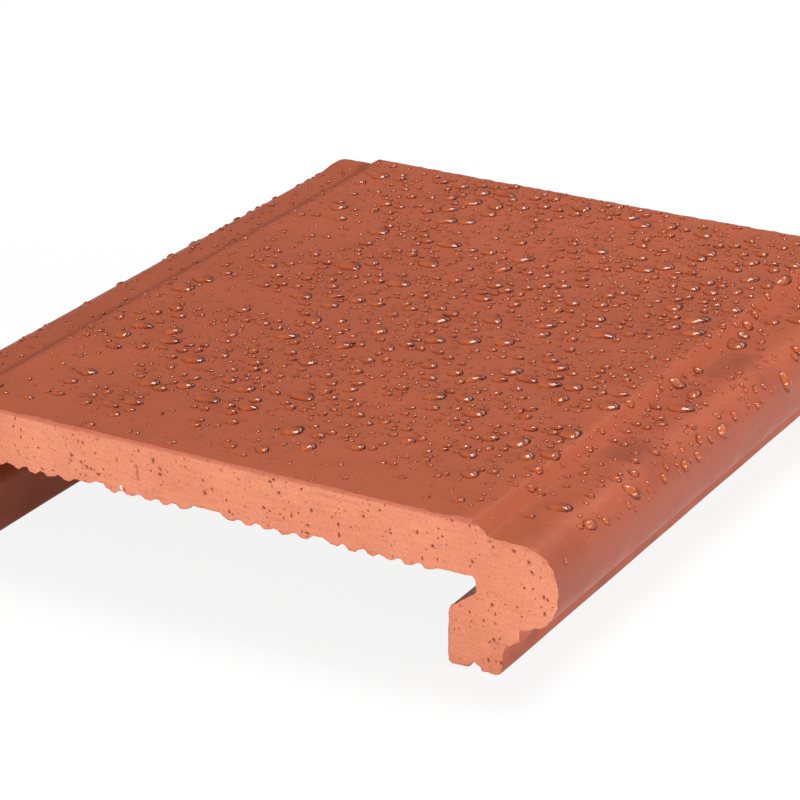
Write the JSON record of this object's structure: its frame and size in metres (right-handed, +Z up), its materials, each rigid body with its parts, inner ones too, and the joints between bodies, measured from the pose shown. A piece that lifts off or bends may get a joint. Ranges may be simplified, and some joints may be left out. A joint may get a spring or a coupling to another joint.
{
  "type": "wall coping",
  "caption": "Extruded terracotta wall coping with a raised flat top, rounded noses, drip legs and a ribbed underside, wet with rain.",
  "frame": {"origin": "middle of the footprint, on the level of the feet of the two legs", "axes": "+X across the wall, +Y along the extrusion and the wall, +Z up out of the flat top"},
  "size_m": [0.25, 0.28, 0.05],
  "materials": {
    "terracotta": "satin"
  },
  "bodies": {
    "root": {"wall_coping": "terracotta"}
  },
  "joints": []
}
